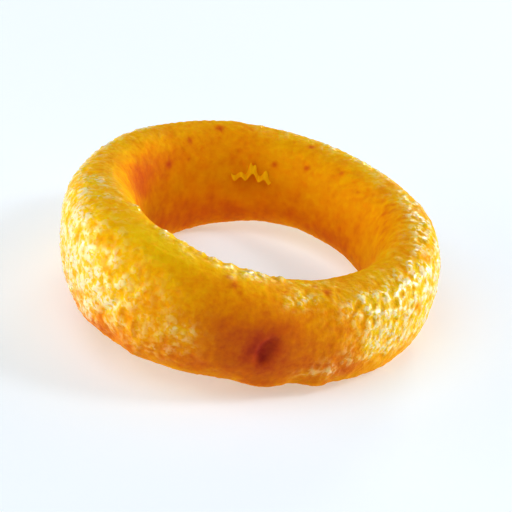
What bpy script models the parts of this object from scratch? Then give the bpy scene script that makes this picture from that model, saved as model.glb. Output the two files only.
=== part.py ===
"""One battered and fried onion ring, lying flat.

The ring is one solid: a slice of onion inside a thick coat of batter, with nothing of the onion showing.
It is built as a rounded section of the wall, carried once round the hole. The section's radius, thickness,
height, lean and sole all drift as they go round, because a cut onion isn't quite round, the batter runs,
and the ring warps in the fryer. Metres, +Z up, origin on the table under the middle of the ring.
"""

import math

import bmesh
import bpy

MM = 0.001

# Driving dimensions: the mean of each, all the way round.
CENTRE_RADIUS = 28.5 * MM  # from the hole's axis to the middle of the wall
HALF_WALL = 6.6 * MM  # half the thickness of the battered wall
CREST_HEIGHT = 21.0 * MM  # the highest line of the wall
SOLE_HEIGHT = 1.0 * MM  # the lowest line of the wall
LEAN = 1.3 * MM  # how far the crest leans out, and the foot in, from the middle of the wall
ROUNDNESS = 0.82  # 1 makes the section an ellipse, and less makes it squarer

# How each one drifts round the ring: (peaks in a turn, size, azimuth of a peak in degrees).
# Azimuth 0 is +X and 90 is +Y, so the side towards -Y is at 270.
RADIUS_DRIFT = ((2, 1.3 * MM, 75), (3, 1.3 * MM, 357), (4, 0.3 * MM, 335))
WALL_DRIFT = ((1, 1.3 * MM, 255), (2, 0.6 * MM, 65))
CREST_DRIFT = ((1, 3.2 * MM, 215), (2, 1.8 * MM, 40), (3, 0.9 * MM, 351))
LEAN_DRIFT = ((1, 0.8 * MM, 151),)

# The sole is a shallow saddle, which the table presses flat in the two places where it would dip below.
SOLE_DRIFT = ((2, 2.1 * MM, 62),)
DEEPEST_PRESS = 0.7 * MM

# Soft lumps in the batter: (waves round the ring, waves round the section, size, phase in degrees).
LUMPS = ((9, 2, 0.15 * MM, 20), (13, -3, 0.12 * MM, 140), (17, 3, 0.08 * MM, 250))

# One blister burst and left an oval dent in the outer wall, a little off upright.
DENT_AZIMUTH, DENT_ANGLE = 279, 6  # degrees round the ring, and degrees round the section
DENT_HALF_WIDTH, DENT_HALF_HEIGHT = 2.0 * MM, 3.0 * MM
DENT_TILT = 20  # degrees that its top leans towards +X
DENT_DEPTH = 0.9 * MM

STATIONS = 104  # sections round the ring
SECTION_POINTS = 32  # points round each section

CRUST_COLOUR = (0.80, 0.42, 0.03, 1.0)
CRUST_ROUGHNESS = 0.5


def clear_scene():
    """Removes every object that the file opened with."""
    for obj in list(bpy.data.objects):
        bpy.data.objects.remove(obj, do_unlink=True)


def drifting(mean, drift, azimuth):
    """The mean plus its waves at this azimuth, in radians."""
    return mean + sum(
        size * math.cos(peaks * (azimuth - math.radians(peak))) for peaks, size, peak in drift
    )


def squared(value):
    """A sine or cosine pushed towards 1, which squares up the ellipse that it draws."""
    return math.copysign(abs(value) ** ROUNDNESS, value)


def lump(azimuth, angle):
    """How far the batter stands out here because of its soft lumps."""
    return sum(
        size * math.cos(round_ring * azimuth + round_section * angle + math.radians(phase))
        for round_ring, round_section, size, phase in LUMPS
    )


def dent(azimuth, angle):
    """The depth of the burst blister here: a bell curve over a tilted oval on the wall."""
    along = (azimuth - math.radians(DENT_AZIMUTH)) * (CENTRE_RADIUS + HALF_WALL)
    up = math.remainder(angle - math.radians(DENT_ANGLE), math.tau) * CREST_HEIGHT / 2
    tilt = math.radians(DENT_TILT)
    across = (along * math.cos(tilt) - up * math.sin(tilt)) / DENT_HALF_WIDTH
    lengthwise = (along * math.sin(tilt) + up * math.cos(tilt)) / DENT_HALF_HEIGHT
    return DENT_DEPTH * math.exp(-(across**2) - lengthwise**2)


def wall_point(azimuth, angle):
    """The point of the crust at this azimuth and this angle round the section.

    An angle of 0 faces out, 90 degrees is the crest, 180 faces the hole and 270 is the sole.
    """
    radius = drifting(CENTRE_RADIUS, RADIUS_DRIFT, azimuth)
    half_wall = drifting(HALF_WALL, WALL_DRIFT, azimuth)
    crest = drifting(CREST_HEIGHT, CREST_DRIFT, azimuth)
    lean = drifting(LEAN, LEAN_DRIFT, azimuth)
    sole = max(drifting(SOLE_HEIGHT, SOLE_DRIFT, azimuth), -DEEPEST_PRESS)
    out, up = squared(math.cos(angle)), squared(math.sin(angle))
    relief = (lump(azimuth, angle) - dent(azimuth, angle)) / math.hypot(out, up)
    radius += (half_wall + relief) * out + lean * up
    height = (crest + sole) / 2 + ((crest - sole) / 2 + relief) * up
    return radius * math.cos(azimuth), radius * math.sin(azimuth), max(height, 0.0)


def ring_points():
    """The points of every section in turn, moved so that the ring's box is centred on the origin."""
    azimuths = [math.tau * i / STATIONS for i in range(STATIONS)]
    angles = [math.tau * j / SECTION_POINTS for j in range(SECTION_POINTS)]
    points = [wall_point(azimuth, angle) for azimuth in azimuths for angle in angles]
    middle_x, middle_y = (
        (min(point[k] for point in points) + max(point[k] for point in points)) / 2 for k in (0, 1)
    )
    return [(x - middle_x, y - middle_y, z) for x, y, z in points]


def ring_mesh(name):
    """Joins the sections into one closed tube that meets itself, its faces pointing out."""
    shape = bmesh.new()
    corners = [shape.verts.new(point) for point in ring_points()]
    for i in range(STATIONS):
        here, ahead = i * SECTION_POINTS, (i + 1) % STATIONS * SECTION_POINTS
        for j in range(SECTION_POINTS):
            above = (j + 1) % SECTION_POINTS
            shape.faces.new([corners[k] for k in (here + j, ahead + j, ahead + above, here + above)])
    bmesh.ops.triangulate(shape, faces=shape.faces[:])
    bmesh.ops.recalc_face_normals(shape, faces=shape.faces[:])
    mesh = bpy.data.meshes.new(name)
    shape.to_mesh(mesh)
    shape.free()
    mesh.shade_smooth()
    return mesh


def crust_material():
    """Golden fried batter."""
    material = bpy.data.materials.new("golden_batter")
    material.use_nodes = True
    surface = material.node_tree.nodes["Principled BSDF"]
    surface.inputs["Base Color"].default_value = CRUST_COLOUR
    surface.inputs["Roughness"].default_value = CRUST_ROUGHNESS
    surface.inputs["Metallic"].default_value = 0.0
    return material


def main():
    clear_scene()
    mesh = ring_mesh("onion_ring")
    mesh.materials.append(crust_material())
    ring = bpy.data.objects.new("onion_ring", mesh)
    bpy.context.scene.collection.objects.link(ring)


main()
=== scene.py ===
# %% [markdown]
# One battered onion ring, fried golden and lying flat. The real thing is a slice of onion inside a thick
# coat of batter, and only the batter shows, so the whole look is one crust. Everything here is in metres,
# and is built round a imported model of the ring, which fixes its size and place.

import math

import bpy
import numpy as np
from mathutils import Matrix, Vector


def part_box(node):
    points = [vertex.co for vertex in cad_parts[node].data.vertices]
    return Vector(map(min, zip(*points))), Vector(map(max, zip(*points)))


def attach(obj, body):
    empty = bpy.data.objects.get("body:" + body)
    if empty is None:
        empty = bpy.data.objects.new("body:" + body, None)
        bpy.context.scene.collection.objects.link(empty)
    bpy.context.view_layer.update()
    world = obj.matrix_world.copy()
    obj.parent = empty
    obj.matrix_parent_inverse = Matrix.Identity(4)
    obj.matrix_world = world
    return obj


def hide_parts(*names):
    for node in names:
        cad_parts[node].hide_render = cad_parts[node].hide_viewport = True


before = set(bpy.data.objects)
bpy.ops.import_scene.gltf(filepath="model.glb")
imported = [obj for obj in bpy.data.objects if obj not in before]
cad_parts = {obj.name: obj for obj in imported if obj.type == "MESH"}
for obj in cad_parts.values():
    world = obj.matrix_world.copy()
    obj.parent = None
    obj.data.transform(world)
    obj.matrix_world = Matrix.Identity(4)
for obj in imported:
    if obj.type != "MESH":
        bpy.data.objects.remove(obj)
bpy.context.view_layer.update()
MM = 0.001

# %% [markdown]
# **The plan of the ring.** A cut onion is never quite round, and batter runs before it sets. So the wall is
# a rounded section carried once round the hole, and each of its measures drifts slowly on the way: a mean,
# plus a few cosine waves. A table of a few waves is easier to steer than a sculpted mesh, and it joins up
# with itself after one turn without any work.

# %% Measures of the wall, and how they drift
# Each drift is (peaks in a turn, size, azimuth of a peak in degrees). Azimuth 0 is +X and 90 is +Y.
CENTRE_RADIUS, RADIUS_DRIFT = 28.5 * MM, ((2, 1.3 * MM, 75), (3, 1.3 * MM, 357), (4, 0.3 * MM, 335))
HALF_WALL, WALL_DRIFT = 6.6 * MM, ((1, 1.3 * MM, 255), (2, 0.6 * MM, 65))
CREST_HEIGHT, CREST_DRIFT = 21.0 * MM, ((1, 3.2 * MM, 215), (2, 1.8 * MM, 40), (3, 0.9 * MM, 351))
SOLE_HEIGHT, SOLE_DRIFT = 1.0 * MM, ((2, 2.1 * MM, 62),)
LEAN, LEAN_DRIFT = 1.3 * MM, ((1, 0.8 * MM, 151),)
DEEPEST_PRESS = 0.7 * MM
ROUNDNESS = 0.82


def drifting(mean, drift, azimuth):
    """The mean plus its waves: each is a size times the cosine of (peaks times the angle from a peak)."""
    return mean + sum(size * np.cos(peaks * (azimuth - math.radians(peak))) for peaks, size, peak in drift)


def squared(wave):
    """A sine or cosine raised to a power below 1 with its sign kept, which squares up an ellipse."""
    return np.sign(wave) * np.abs(wave) ** ROUNDNESS


def wall_surface(azimuth, angle):
    """Points of the smooth wall. Radius is the centre line's, plus half the wall times the squared cosine of
    the angle, plus the lean times its squared sine. Height runs from sole to crest by the squared sine.
    Angle 0 faces out, 90 degrees is the crest, 180 faces the hole and 270 is the sole."""
    crest = drifting(CREST_HEIGHT, CREST_DRIFT, azimuth)
    sole = np.maximum(drifting(SOLE_HEIGHT, SOLE_DRIFT, azimuth), -DEEPEST_PRESS)
    out, up = squared(np.cos(angle)), squared(np.sin(angle))
    radius = drifting(CENTRE_RADIUS, RADIUS_DRIFT, azimuth) + drifting(HALF_WALL, WALL_DRIFT, azimuth) * out
    radius = radius + drifting(LEAN, LEAN_DRIFT, azimuth) * up
    height = (crest + sole) / 2 + (crest - sole) / 2 * up
    return np.stack([radius * np.cos(azimuth), radius * np.sin(azimuth), height], axis=-1)


# %% [markdown]
# **A grid to build on.** One parameter goes round the ring and the other round the section. The table hides
# the sole, so the sections spend fewer points there, and more on the walls and the crest, where the crust
# shows. The grid is kept just under the size at which the printable copy of a piece would be thinned.

# %% The grid of azimuths and section angles
STATIONS, SECTION_POINTS = 640, 154
SOLE_THINNING = 0.35

turn = np.linspace(0, math.tau, SECTION_POINTS, endpoint=False)
section_angles = turn - SOLE_THINNING * np.cos(turn)
round_ring = np.linspace(0, math.tau, STATIONS, endpoint=False)
azimuth, angle = np.meshgrid(round_ring, section_angles, indexing="ij")
smooth_wall = wall_surface(azimuth, angle)
print("grid:", azimuth.shape, "triangles:", 2 * azimuth.size)


def outward(points):
    """Normals of a grid that closes both ways: the cross product of the steps along its two directions."""
    along = np.roll(points, -1, 0) - np.roll(points, 1, 0)
    across = np.roll(points, -1, 1) - np.roll(points, 1, 1)
    normals = np.cross(along, across)
    return normals / np.maximum(np.linalg.norm(normals, axis=-1, keepdims=True), 1e-12)


# %% [markdown]
# **Noise to shape batter with.** Fried batter has three kinds of unevenness: soft swellings where it ran,
# round blisters where steam lifted it, and fine wrinkles where the skin set before the inside did. Blender
# has noise in its materials, but a texture can't be printed or touched, so these are worked out here as
# numbers and move the real surface. Each is a function of place in space, so it has no seam.

# %% Smooth noise and cell noise
def soft_noise(points, size, seed):
    """Smooth noise between about -1 and 1. Space is cut in cubes, each corner gets a random slope, and a
    point blends what its eight corners' slopes say there, with an ease curve so that no cube shows."""
    random = np.random.default_rng(seed)
    slopes = random.normal(size=(256, 3))
    slopes /= np.linalg.norm(slopes, axis=1, keepdims=True)
    order = random.permutation(256)
    place = points / size
    cube = np.floor(place).astype(int)
    inside = place - cube
    ease = inside**3 * (inside * (inside * 6 - 15) + 10)
    total = np.zeros(points.shape[:-1])
    for corner in np.ndindex(2, 2, 2):
        key = cube + corner
        pick = order[(order[(order[key[..., 0] & 255] + key[..., 1]) & 255] + key[..., 2]) & 255]
        share = np.prod(np.where(corner, ease, 1 - ease), axis=-1)
        total += share * np.sum(slopes[pick] * (inside - corner), axis=-1)
    return 1.6 * total


def cells(points, size, seed):
    """Cell noise. One seed point is dropped at random in each cube, and each point of the surface gets its
    distance to the nearest seed, measured in cubes, and that seed's own random number from 0 to 1."""
    random = np.random.default_rng(seed)
    jitter = random.uniform(size=(4096, 3))
    number = random.uniform(size=4096)
    order = random.permutation(4096)
    place = points / size
    cube = np.floor(place).astype(int)
    nearest = np.full(points.shape[:-1], 9.0)
    owner = np.zeros(points.shape[:-1])
    for step in np.ndindex(3, 3, 3):
        key = cube + np.array(step) - 1
        pick = order[(order[(order[key[..., 0] & 4095] + key[..., 1]) & 4095] + key[..., 2]) & 4095]
        distance = np.linalg.norm(key + jitter[pick] - place, axis=-1)
        closer = distance < nearest
        nearest = np.where(closer, distance, nearest)
        owner = np.where(closer, number[pick], owner)
    return nearest, owner


# %% [markdown]
# **Where the crust differs.** The fryer doesn't treat a ring evenly. The flanks blister and keep a film of
# oil, the face between them stays smooth, and the wall of the hole is calm because the oil moved less
# there. A patch is a soft oval on the grid that says how much of something a place has. Where patches are
# not listed one by one, slow noise decides.

# %% Soft patches, and where the oil stayed
def degrees_from(angles, at):
    """How far angles in radians are from one in degrees: their difference in degrees, wrapped to 180."""
    return (np.degrees(angles) - at + 180) % 360 - 180


def patch(azimuth_at, angle_at, azimuth_reach, angle_reach):
    """From 1 in the middle to 0 far away: a bell curve over the distance in reaches."""
    turned = degrees_from(azimuth, azimuth_at)
    tipped = degrees_from(angle, angle_at)
    return np.exp(-((turned / azimuth_reach) ** 2) - (tipped / angle_reach) ** 2)


ALL_ROUND = 1e6
# Each is (azimuth, section angle, reach one way, reach the other, how much).
# These set the film of oil, and through it where the painted cream highlight of the flecks goes.
OIL_AND_GLINT_PLACES = (
    (219, 10, 20, 38, 1.6), (342, 24, 16, 42, 1.25), (325, 40, 14, 30, 1.1), (318, 2, 7, 14, 1.1),
    (306, -4, 6, 10, 0.3), (6, 78, 26, 22, 0.65), (257, 6, 4, 14, 0.3), (250, -22, 7, 14, 0.2),
    (290, 66, 5, 13, 0.8), (309, 56, 7, 14, 1.0), (298, -22, 6, 10, 0.5), (165, 30, 34, 30, 0.8),
    (58, 66, 24, 18, 0.8), (262, 100, 14, 10, 0.45), (12, 74, 12, 14, 0.5), (152, 60, 28, 18, 1.1),
    (205, 76, 20, 24, 0.8), (222, 122, 3, 7, 1.4), (272, 102, 8, 8, 0.7), (296, 98, 8, 8, 0.5),
)  # fmt: skip
inner_wall = patch(0, 188, ALL_ROUND, 58)
smooth_face = patch(279, 10, 14, 46)
hidden_side = patch(90, 10, 75, 60)
oily = sum(share * patch(*place) for *place, share in OIL_AND_GLINT_PLACES)
oily += hidden_side * np.clip(0.15 + 0.7 * soft_noise(smooth_wall, 9 * MM, 15), 0, 0.6)
oily *= (1 - 0.5 * patch(244, 88, 22, 26)) * (1 - 0.6 * patch(232, -42, 30, 20))
oily = np.clip(oily * (0.85 + 1.1 * soft_noise(smooth_wall, 3.2 * MM, 16)), 0, 1)
lively = np.clip(0.60 + 0.8 * oily - 0.50 * inner_wall - 0.44 * smooth_face, 0.12, 1.4)
print("oily part of the skin:", oily.mean().round(2))
print("relief runs from", lively.min().round(2), "to", lively.max().round(2))

# %% [markdown]
# **The relief.** The layers add up along the wall's normal. Wrinkles come from noise folded at zero, which
# leaves creases. They run up the wall and over the crest, as the skin of the batter shrank round the ring,
# so the noise is read from points drawn in towards the middle of the wall: that stretches it that way only.
# Pits are where small bubbles broke, and swellings are where the batter ran.

# %% Swellings, lumps, wrinkles and pits
SWELLING = 0.26 * MM
LUMP = 0.18 * MM
WRINKLE = 0.11 * MM
GRAIN = 0.18 * MM
PIT = 0.22 * MM
DRAWN_IN = 0.60

mid_height = (drifting(CREST_HEIGHT, CREST_DRIFT, azimuth) + SOLE_HEIGHT) / 2
mid_radius = drifting(CENTRE_RADIUS, RADIUS_DRIFT, azimuth)
middle_line = np.stack([mid_radius * np.cos(azimuth), mid_radius * np.sin(azimuth), mid_height], axis=-1)
warp = np.stack([soft_noise(smooth_wall, 3.0 * MM, seed) for seed in (11, 12, 13)], axis=-1)
drawn_in = middle_line + DRAWN_IN * (smooth_wall - middle_line) + 0.5 * MM * warp
swell = soft_noise(smooth_wall, 8.0 * MM, 21) + 0.5 * soft_noise(smooth_wall, 4.6 * MM, 22)
lump = soft_noise(smooth_wall + 0.4 * MM * warp, 1.5 * MM, 23)
wrinkle = 0.32 - np.sqrt(soft_noise(drawn_in, 1.35 * MM, 31) ** 2 + 0.01)
distance, owner = cells(smooth_wall + 0.3 * MM * warp, 1.15 * MM, 43)
grain = (1 - 1.4 * distance) * (0.5 + owner)
distance, owner = cells(smooth_wall + 0.25 * MM * warp, 1.4 * MM, 41)
pit = np.exp(-((distance / 0.32) ** 2)) * np.clip(owner * 1.6 - 0.4, 0, 1)
fine_relief = (LUMP * lump + WRINKLE * wrinkle + GRAIN * grain - PIT * pit) / MM

relief = SWELLING * swell * (0.6 + 0.4 * lively) + lively * fine_relief * MM
print("relief, mm: lowest", (relief.min() / MM).round(2), "highest", (relief.max() / MM).round(2))

# %% [markdown]
# **Accidents of the batter.** One bubble burst on the front and left a slanting dent. Folds and cracks formed
# where the skin slid as it set. Two drips set at the foot as the ring came out of the batter, and beads of
# it gathered along the lip of the hole. Ovals and round spots laid on the wall push it in or pull it out.

# %% The burst bubble, the folds, the drips and the beads
def oval(azimuth_at, angle_at, half_width, half_height, tilt):
    """From 1 in the middle to 0 outside an oval of a size in mm, laid on the wall and turned by a tilt in
    degrees: a bell over the fourth power of the distance in half sizes, for a flat top and a clear edge."""
    turned = np.radians(degrees_from(azimuth, azimuth_at)) * (CENTRE_RADIUS + HALF_WALL)
    tipped = np.radians(degrees_from(angle, angle_at)) * CREST_HEIGHT / 2
    slant = math.radians(tilt)
    across = (turned * math.cos(slant) - tipped * math.sin(slant)) / (half_width * MM)
    lengthwise = (turned * math.sin(slant) + tipped * math.cos(slant)) / (half_height * MM)
    return np.exp(-((across**2 + lengthwise**2) ** 2))


DENT_DEPTH = 0.8 * MM
dent = oval(279.5, 2, 1.35, 2.8, 30)
dent_side = oval(277, 4, 3.4, 3.6, 20)
relief -= DENT_DEPTH * (dent + 0.35 * dent_side)

# Each fold is (azimuth, section angle, half width, half height, tilt, height), in degrees and mm. A negative
# one is a crack.
FOLDS = (
    (220, 20, 0.45, 2.8, 0, -0.45), (237, -2, 0.6, 2.8, 52, -0.50), (240, -4, 0.5, 2.2, 10, 0.30),
    (244, -8, 0.5, 2.0, 5, 0.30), (245, 79, 0.5, 3.6, 88, 0.35), (314, 40, 0.4, 2.6, 53, 0.35),
    (318, 33, 0.4, 2.4, 50, 0.30), (309, 46, 0.4, 2.0, 56, 0.30),
)  # fmt: skip
# Each drip is (azimuth, section angle, reach one way, reach the other, height); a negative one is a hollow.
DRIPS = (
    (280, -50, 8.0, 16, 0.60 * MM), (299, -46, 3.5, 16, 0.75 * MM), (291, -46, 3.0, 20, -0.80 * MM),
    (267, -46, 6.0, 18, -0.40 * MM), (243, -40, 3.5, 16, 0.45 * MM), (236, -36, 3.0, 16, -0.35 * MM),
    (222, 122, 2.2, 6, 0.45 * MM),
)  # fmt: skip
BEAD_HEIGHT = 0.55 * MM
relief += sum(height * MM * oval(*place) for *place, height in FOLDS)
relief += sum(height * patch(*place) for *place, height in DRIPS)


def spot(azimuth_at, angle_at, radius):
    """A round spot on the wall: a bell over the distance in space from its middle, measured in radii."""
    middle = wall_surface(math.radians(azimuth_at), math.radians(angle_at))
    return np.exp(-((np.linalg.norm(smooth_wall - middle, axis=-1) / (radius * MM)) ** 2))


LIP_BEADS = 46
scatter = np.random.default_rng(7)
beads = np.zeros_like(azimuth)
for _ in range(LIP_BEADS):
    places = [scatter.normal(245, 4), scatter.uniform(255, 286), scatter.uniform(255, 286)]
    bead_azimuth, height = scatter.choice(places), scatter.uniform(0.4, 1.0)
    bead_angle, radius = scatter.normal(108, 7), scatter.uniform(0.45, 0.85)
    beads = np.maximum(beads, height * spot(bead_azimuth, bead_angle, radius))
relief += BEAD_HEIGHT * beads
print("beads on the lip:", LIP_BEADS, "tallest, mm:", (BEAD_HEIGHT * beads.max() / MM).round(2))

# %% [markdown]
# **From numbers to a mesh.** The relief moves each point along its normal, and the table stops it at zero.
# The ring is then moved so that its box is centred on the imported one. The grid's quads go to Blender in one
# call, and its last row and column join its first, so the tube is closed.

# %% Make the crust
def closed_tube(name, points):
    """A mesh of quads over a grid of points that closes on itself both ways."""
    rows, columns = points.shape[:2]
    index = np.arange(rows * columns).reshape(rows, columns)
    ahead = np.roll(index, -1, 0)
    quads = np.stack([index, ahead, np.roll(ahead, -1, 1), np.roll(index, -1, 1)], axis=-1).reshape(-1, 4)
    mesh = bpy.data.meshes.new(name)
    mesh.from_pydata(points.reshape(-1, 3), [], quads)
    mesh.shade_smooth()
    piece = bpy.data.objects.new(name, mesh)
    bpy.context.scene.collection.objects.link(piece)
    return piece


def store(piece, name, values):
    """Keeps one number for each point of a piece, for its material to read."""
    kept = piece.data.attributes.new(name, "FLOAT", "POINT")
    kept.data.foreach_set("value", values.ravel().astype(np.float32))


facing = outward(smooth_wall)
crust_points = smooth_wall + relief[..., None] * facing
crust_points[..., 2] = np.maximum(crust_points[..., 2], 0)
packed_low, packed_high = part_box("onion_ring")
middle = (crust_points.reshape(-1, 3).min(0) + crust_points.reshape(-1, 3).max(0)) / 2
shift = (np.array(packed_low) + np.array(packed_high)) / 2 - middle
shift[2] = 0
crust_points = crust_points + shift
crust = closed_tube("crust", crust_points)
print("crust box, mm:", (np.ptp(crust_points.reshape(-1, 3), axis=0) / MM).round(1))

# %% [markdown]
# **The lifted flake.** On the far wall of the hole a scrap of skin came loose while it fried. Its lower edge
# stands off the wall, and its torn upper edge ends in yellow points. It is a thin strip whose height rises
# and falls along it, and whose section is a thin leaf. A real leaf with two sides prints and renders better
# than a paper-thin sheet.

# %% Make the flake
FLAKE_FROM, FLAKE_TO, FLAKE_FOOT = 102, 84, 170
# Each wave of the foot is (size in degrees, radians along the strip). Each tip is (place along the strip,
# width, height in mm).
FLAKE_WAVES = ((3, 9), (3, 21))
FLAKE_TIPS = ((0.08, 0.09, 0.5), (0.44, 0.05, 1.5), (0.58, 0.05, 0.8), (0.86, 0.10, 1.0))
FLAKE_LOW, FLAKE_THICKNESS, FLAKE_LIFT = 0.7 * MM, 0.40 * MM, 1.3 * MM


def flake_surface(along, around):
    """Along runs from 0 to 1 down the strip, and around goes once round the leaf: up its face by half a turn
    and down its back. The height is a low edge plus a bell for each tip. A point is the foot on the wall,
    plus its share of the height up the wall, plus the lift into the hole, which fades towards the tips."""
    turned = np.radians(FLAKE_FROM + (FLAKE_TO - FLAKE_FROM) * along)
    waves = sum(size * np.sin(length * along) for size, length in FLAKE_WAVES)
    foot_angle = np.radians(FLAKE_FOOT + waves)
    foot = wall_surface(turned, foot_angle)
    up = wall_surface(turned, foot_angle - 0.05) - foot
    up /= np.linalg.norm(up, axis=-1, keepdims=True)
    inwards = -np.stack([np.cos(turned), np.sin(turned), np.zeros_like(turned)], axis=-1)
    height = FLAKE_LOW * np.sin(np.pi * along) ** 0.5
    height = height + sum(tall * MM * np.exp(-(((along - at) / wide) ** 2)) for at, wide, tall in FLAKE_TIPS)
    share = (1 - np.cos(around)) / 2
    side = np.sin(around) * FLAKE_THICKNESS / 2 * (1 - 0.7 * share)
    rise = (height * share)[..., None] * up
    lift = (FLAKE_LIFT * (1 - share) * np.sin(np.pi * along) ** 0.5 + side)[..., None] * inwards
    return foot + rise + lift


def capped_tube(name, points):
    """A mesh of quads over a grid of points that closes round its second way, with a face at each end."""
    rows, columns = points.shape[:2]
    index = np.arange(rows * columns).reshape(rows, columns)
    near, far = index[:-1], index[1:]
    quads = np.stack([near, far, np.roll(far, -1, 1), np.roll(near, -1, 1)], axis=-1).reshape(-1, 4)
    mesh = bpy.data.meshes.new(name)
    ends = [index[0].tolist(), index[-1][::-1].tolist()]
    mesh.from_pydata(points.reshape(-1, 3), [], quads.tolist() + ends)
    mesh.shade_smooth()
    piece = bpy.data.objects.new(name, mesh)
    bpy.context.scene.collection.objects.link(piece)
    return piece


ALONG_POINTS, ROUND_POINTS = 90, 20
round_leaf = np.linspace(0, math.tau, ROUND_POINTS, endpoint=False)
strip, leaf = np.meshgrid(np.linspace(0, 1, ALONG_POINTS), round_leaf, indexing="ij")
flake_points = flake_surface(strip, leaf) + shift
flake = capped_tube("flake", flake_points)
print("flake, mm:", (np.ptp(flake_points.reshape(-1, 3), axis=0) / MM).round(1))

# %% [markdown]
# ** How brown each place is, and painted shade.** Batter goes from pale yellow through gold and orange to
# red-brown as it fries. One number for each point holds how far it got: low on the crest, which stood out of
# the oil, and high on the front. The same number also carries painted shade: browner low in the hole and on
# its left wall, low at the front's left and right, in the creases and pits of the relief, and in the dent. A
# second number holds how much film of oil is there, most of it on the tops of the bumps. The material turns
# both into colour and shine.

# %% Browning of the crust, with painted shade
MEAN_BROWNING = 0.38
# Each is (azimuth, section angle, reach one way, reach the other, how much); a negative one is paler.
# The ones low in the hole's wall, on its left wall, and low at the front's left and right are painted shade.
BROWNED_AND_SHADED_PLACES = (
    (0, 205, ALL_ROUND, 20, 0.05), (236, 80, 18, 28, -0.18), (253, 42, 10, 22, -0.08),
    (60, 76, 24, 24, -0.09), (0, 215, ALL_ROUND, 34, 0.08), (125, 195, 36, 45, 0.09),
    (160, 146, 25, 27, 0.34), (278, 6, 17, 42, 0.31), (278, -30, 34, 30, 0.04), (200, -40, 30, 30, 0.10),
    (304, -16, 9, 18, 0.22), (228, -30, 24, 22, 0.16), (258, 88, 32, 26, -0.07),
)  # fmt: skip
FLAKE_LOOK = (("browning_and_shade", 0.17), ("film", 0.0), ("lively", 0.3))
# Each spot is (azimuth, section angle, radius in mm).
SPOTS = (
    (266, 84, 0.7), (268, 73, 0.8), (297, 92, 0.6), (300, 80, 0.9), (106, 101, 0.8), (119, 124, 0.6),
    (72, 97, 0.7), (84, 150, 0.6), (70, 140, 0.5), (131, 150, 0.8), (54, 120, 0.6),
)  # fmt: skip
lowness = np.clip(-np.sin(angle), -1, 1)
ridge = np.clip((fine_relief + 0.05) / 0.17, 0, 1)
oily = np.maximum(oily, 0.9 * beads)
film = oily * np.clip(0.06 + 0.28 * patch(220, 14, 26, 44) + 0.94 * ridge**2 * (3 - 2 * ridge), 0, 1)
browning_and_shade = MEAN_BROWNING + 0.04 * lowness - 0.06 * inner_wall - 0.22 * oily - 0.06 * film
browning_and_shade += sum(amount * patch(*place) for *place, amount in BROWNED_AND_SHADED_PLACES)
browning_and_shade += 0.08 * soft_noise(smooth_wall, 9 * MM, 61) + 0.06 * soft_noise(smooth_wall, 3.2 * MM, 62)
browning_and_shade += 0.22 * patch(14, 122, 24, 40) * np.clip(soft_noise(drawn_in, 1.3 * MM, 65) + 0.1, 0, 1)
# Last, the relief's creases and pits are browned and its tops paled: painted shade and light on the bumps.
browning_and_shade += 0.03 * soft_noise(drawn_in, 2.0 * MM, 63) - (0.24 - 0.02 * oily) * np.clip(fine_relief, -0.3, 0.3)
distance, owner = cells(smooth_wall, 3.4 * MM, 64)
freckle = np.clip(1.6 - distance / 0.12, 0, 1) * (owner > 0.62) * (1 - 0.5 * oily)
# The lip beads are paler, partly as a painted highlight on them.
browning_and_shade -= 0.20 * beads
# The dent and its rim are browned, partly real browning and partly painted shade in the hollow.
browning_and_shade += 0.12 * freckle + 0.08 * dent_side + 0.07 * dent
browning_and_shade += 0.28 * sum(spot(*place) for place in SPOTS)
store(crust, "browning_and_shade", np.clip(browning_and_shade, 0, 1))
store(crust, "film", film)
store(crust, "lively", lively)
for name, value in FLAKE_LOOK:
    store(flake, name, np.full(flake_points.shape[:2], value))
print("browning: mean", browning_and_shade.mean().round(2), "most", browning_and_shade.max().round(2))

# %% [markdown]
# ** The crust's finish.** It is a dielectric with a thin film of oil, so it shines in small glints while its
# body stays matt. Under the film the bumps carry cream flecks: pale blisters with a painted highlight in
# them. A little light also goes under the skin and comes out redder nearby. One Principled shader does all
# of this, and its colour comes from a ramp over the browning and painted shade.

# %% Helpers for materials
def new_material(name):
    """A material with its Principled shader, and the tree and the shader to build on."""
    material = bpy.data.materials.new(name)
    material.use_nodes = True
    tree = material.node_tree
    return material, tree, tree.nodes["Principled BSDF"]


def node(tree, kind, settings=None, **inputs):
    """Adds a node, sets its settings, and fills or links the inputs that are named, by name or number."""
    made = tree.nodes.new(kind)
    for key, value in (settings or {}).items():
        setattr(made, key, value)
    for key, value in inputs.items():
        socket = made.inputs[int(key[1:])] if key[0] == "_" else made.inputs[key.replace("_", " ")]
        if isinstance(value, bpy.types.NodeSocket):
            tree.links.new(value, socket)
        else:
            socket.default_value = value
    return made


def calculate(tree, operation, first, second=0.0, third=0.0):
    """One Math node, and its result."""
    return node(tree, "ShaderNodeMath", {"operation": operation}, _0=first, _1=second, _2=third).outputs[0]


def ramp(tree, factor, stops):
    """A colour ramp through (place, colour) stops, and its colour."""
    made = node(tree, "ShaderNodeValToRGB", Fac=factor)
    elements = made.color_ramp.elements
    while len(elements) < len(stops):
        elements.new(0.5)
    for element, (place, colour) in zip(elements, stops):
        element.position = place
        element.color = (*colour, 1)
    return made.outputs["Color"]


# %% Golden batter
BATTER = (
    (0.00, (0.98, 0.65, 0.012)),
    (0.20, (0.96, 0.55, 0.004)),
    (0.40, (0.87, 0.37, 0.006)),
    (0.55, (0.77, 0.24, 0.016)),
    (0.70, (0.66, 0.145, 0.026)),
    (0.85, (0.50, 0.072, 0.032)),
    (1.00, (0.30, 0.024, 0.020)),
)
# The cream of the flecks: pale blistered skin, with a painted highlight over the real glints.
BLISTER_AND_GLINT_CREAM = (1.0, 0.77, 0.41)


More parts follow.
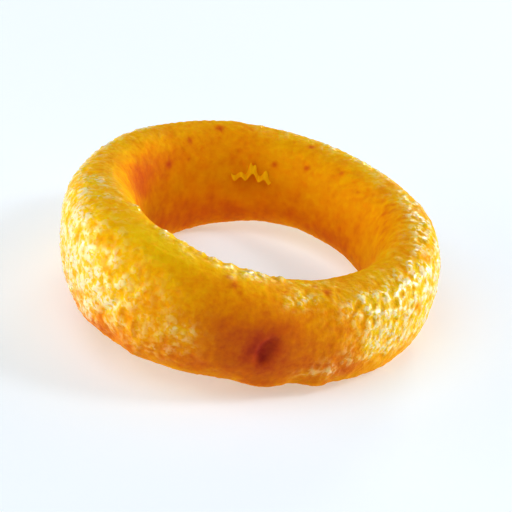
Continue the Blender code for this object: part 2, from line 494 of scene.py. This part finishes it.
# Noise scales are in waves a metre.
MOTTLE_SCALE, PORE_SCALE, FLECK_SCALE, GRAIN_SCALE = 1100.0, 950.0, 1000.0, 1500.0
FLECK_FROM, FLECK_FULL, FLECK_GAIN = 0.41, 0.55, 1.5
BUMP_DEPTH, FLECK_DEPTH = 0.30 * MM, 0.12 * MM
DRY_ROUGHNESS, OILED_DROP = 0.66, -0.35
FINISH = {
    "Coat Roughness": 0.12,
    "Coat IOR": 1.7,
    "IOR": 1.46,
    "Specular IOR Level": 0.10,
    "Subsurface Radius": (1.0, 0.35, 0.08),
    "Subsurface Scale": 0.8 * MM,
}


def stored(tree, name):
    """Reads the number kept for each point under a name."""
    return node(tree, "ShaderNodeAttribute", {"attribute_name": name}).outputs["Fac"]


def noise(tree, place, scale, detail, roughness, distortion=0.0):
    """Noise from 0 to 1, read at a place."""
    settings = {"Scale": scale, "Detail": detail, "Roughness": roughness, "Distortion": distortion}
    return node(tree, "ShaderNodeTexNoise", Vector=place, **settings).outputs["Fac"]


def golden_batter(name, glow):
    """Browning, with its painted shade, plus a fine mottle picks the colour from the ramp, and cream flecks
    lie
    over it: fleck noise times the film of oil. The flecks are pale blisters with a painted highlight in them.
    Bumps finer than the mesh break up the shine. Glow is the light under the skin."""
    material, tree, shader = new_material(name)
    place = node(tree, "ShaderNodeTexCoord").outputs["Object"]
    brown_and_shade, oil, liveliness = (stored(tree, kept) for kept in ("browning_and_shade", "film", "lively"))

    mottle = noise(tree, place, MOTTLE_SCALE, 3.0, 0.6)
    amount = calculate(tree, "MULTIPLY_ADD", liveliness, 0.28, 0.14)
    mottled = calculate(tree, "MULTIPLY_ADD", calculate(tree, "SUBTRACT", mottle, 0.5), amount, brown_and_shade)
    golden = ramp(tree, mottled, BATTER)

    flecks = noise(tree, place, FLECK_SCALE, 1.5, 0.55, 0.3)
    soft_edges = {"interpolation_type": "SMOOTHSTEP"}
    fleck = node(
        tree, "ShaderNodeMapRange", soft_edges, Value=flecks, From_Min=FLECK_FROM, From_Max=FLECK_FULL
    ).outputs["Result"]
    most = calculate(tree, "MULTIPLY", oil, FLECK_GAIN)
    clamped = {"operation": "MULTIPLY", "use_clamp": True}
    # How much cream shows: fleck noise times the oil film, partly pale blister and partly painted highlight.
    blister_and_glint_share = node(tree, "ShaderNodeMath", clamped, _0=fleck, _1=most).outputs[0]
    batter_with_glints = node(tree, "ShaderNodeMix", {"data_type": "RGBA"}, _0=blister_and_glint_share, _6=golden, _7=(*BLISTER_AND_GLINT_CREAM, 1))
    tree.links.new(batter_with_glints.outputs[2], shader.inputs["Base Color"])

    dryness = calculate(tree, "MULTIPLY_ADD", oil, OILED_DROP, DRY_ROUGHNESS)
    tree.links.new(calculate(tree, "MULTIPLY_ADD", mottle, 0.10, dryness), shader.inputs["Roughness"])

    grain = noise(tree, place, GRAIN_SCALE, 2.0, 0.5)
    round_cells = {"feature": "SMOOTH_F1"}
    pores = node(tree, "ShaderNodeTexVoronoi", round_cells, Vector=place, Scale=PORE_SCALE)
    lowered = calculate(tree, "MULTIPLY_ADD", mottle, -2.0, grain)
    bumps = calculate(tree, "ADD", lowered, pores.outputs["Distance"])
    strength = calculate(tree, "MULTIPLY", liveliness, 0.45)
    bump = node(tree, "ShaderNodeBump", Height=bumps, Distance=BUMP_DEPTH, Strength=strength)
    tree.links.new(bump.outputs["Normal"], shader.inputs["Normal"])
    flecked = node(tree, "ShaderNodeBump", Height=fleck, Distance=FLECK_DEPTH, Strength=1.0)
    tree.links.new(flecked.outputs["Normal"], shader.inputs["Coat Normal"])
    tree.links.new(oil, shader.inputs["Coat Weight"])

    shader.inputs["Subsurface Weight"].default_value = glow
    for socket, value in FINISH.items():
        shader.inputs[socket].default_value = value
    return material


crust.data.materials.append(golden_batter("golden_batter", 0.6))
flake.data.materials.append(golden_batter("golden_flake", 0.0))
for piece in (crust, flake):
    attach(piece, "root")
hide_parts("onion_ring")
print("finishes:", crust.data.materials[0].name, "and", flake.data.materials[0].name)

# %% [markdown]
# **The studio.** The ring lies on a white table that glows a little, as a lit acrylic table does, so its
# shadow stays soft. Two low soft boxes stand left and right, where the oily flanks mirror them. They are
# low so that little of their light gets into the hole. A small one high on the right and another low at the
# back put sparkle on the shoulder and the lip. A big one hangs above, to the front and left, and a pale room
# fills in the rest.

# %% Floor, room and lights
def soft_box(name, place, width, height, watts, aim=(0, 0, 0.01)):
    """An oblong area light at a place, turned to face its aim."""
    light = bpy.data.lights.new(name, "AREA")
    light.shape = "RECTANGLE"
    light.size, light.size_y = width, height
    light.energy = watts
    lamp = bpy.data.objects.new(name, light)
    lamp.location = place
    lamp.rotation_euler = (Vector(aim) - Vector(place)).to_track_quat("-Z", "Y").to_euler()
    bpy.context.scene.collection.objects.link(lamp)


TABLE_REACH = 4.0
TABLE_WHITE, TABLE_GLOW = (0.62, 0.70, 0.78), 0.27


def white_table():
    """A wide plain square under the ring, which glows a little."""
    mesh = bpy.data.meshes.new("floor")
    corners = [(x * TABLE_REACH, y * TABLE_REACH, 0) for x, y in ((-1, -1), (1, -1), (1, 1), (-1, 1))]
    mesh.from_pydata(corners, [], [(0, 1, 2, 3)])
    floor = bpy.data.objects.new("floor", mesh)
    bpy.context.scene.collection.objects.link(floor)
    material, _, shader = new_material("lit_acrylic")
    shader.inputs["Base Color"].default_value = (*TABLE_WHITE, 1)
    shader.inputs["Roughness"].default_value = 0.9
    shader.inputs["Specular IOR Level"].default_value = 0.1
    shader.inputs["Emission Color"].default_value = (1, 1, 1, 1)
    shader.inputs["Emission Strength"].default_value = TABLE_GLOW
    mesh.materials.append(material)


white_table()
# Each is (name, place, width, height, power in watts).
SOFT_BOXES = (
    ("left_box", (-0.58, -0.10, 0.13), 0.50, 0.22, 1.72),
    ("right_box", (0.56, 0.16, 0.08), 0.50, 0.15, 1.74),
    ("high_right_box", (0.42, 0.0, 0.44), 0.13, 0.13, 0.55),
    ("back_box", (0.15, 0.56, 0.22), 0.16, 0.12, 0.50),
    ("top_box", (-0.26, -0.27, 0.70), 0.60, 0.60, 1.45),
)
ROOM_STRENGTH = 0.13
for box in SOFT_BOXES:
    soft_box(*box)
print("soft boxes:", len(SOFT_BOXES), "watts in all:", round(sum(box[-1] for box in SOFT_BOXES), 2))
world = bpy.data.worlds.new("room")
world.use_nodes = True
world.node_tree.nodes["Background"].inputs["Color"].default_value = (1, 1, 1, 1)
world.node_tree.nodes["Background"].inputs["Strength"].default_value = ROOM_STRENGTH
bpy.context.scene.world = world
bpy.context.scene.view_settings.view_transform = "Standard"
bpy.context.scene.view_settings.look = "High Contrast"

# %% [markdown]
# **The camera** stands half a metre away, about 29 degrees above the table, with a long lens, and leans a
# little to one side.

# %% Camera
CAMERA_DISTANCE, CAMERA_ELEVATION, CAMERA_LEAN = 0.5, math.radians(29.2), math.radians(8.2)
LENS, SENSOR_WIDTH = 196, 36
CAMERA_AIM = Vector((1.05 * MM, -1.2 * MM, 11 * MM))
camera = bpy.data.objects.new("camera", bpy.data.cameras.new("camera"))
camera.data.lens, camera.data.sensor_width = LENS, SENSOR_WIDTH
camera.data.clip_start = 0.01
upright = Matrix.Rotation(math.pi / 2 - CAMERA_ELEVATION, 4, "X") @ Matrix.Rotation(CAMERA_LEAN, 4, "Z")
back = Vector((0, -math.cos(CAMERA_ELEVATION), math.sin(CAMERA_ELEVATION)))
camera.matrix_world = Matrix.Translation(CAMERA_AIM + CAMERA_DISTANCE * back) @ upright
bpy.context.scene.collection.objects.link(camera)
bpy.context.scene.camera = camera
print("camera, mm from its aim:", round(CAMERA_DISTANCE / MM))
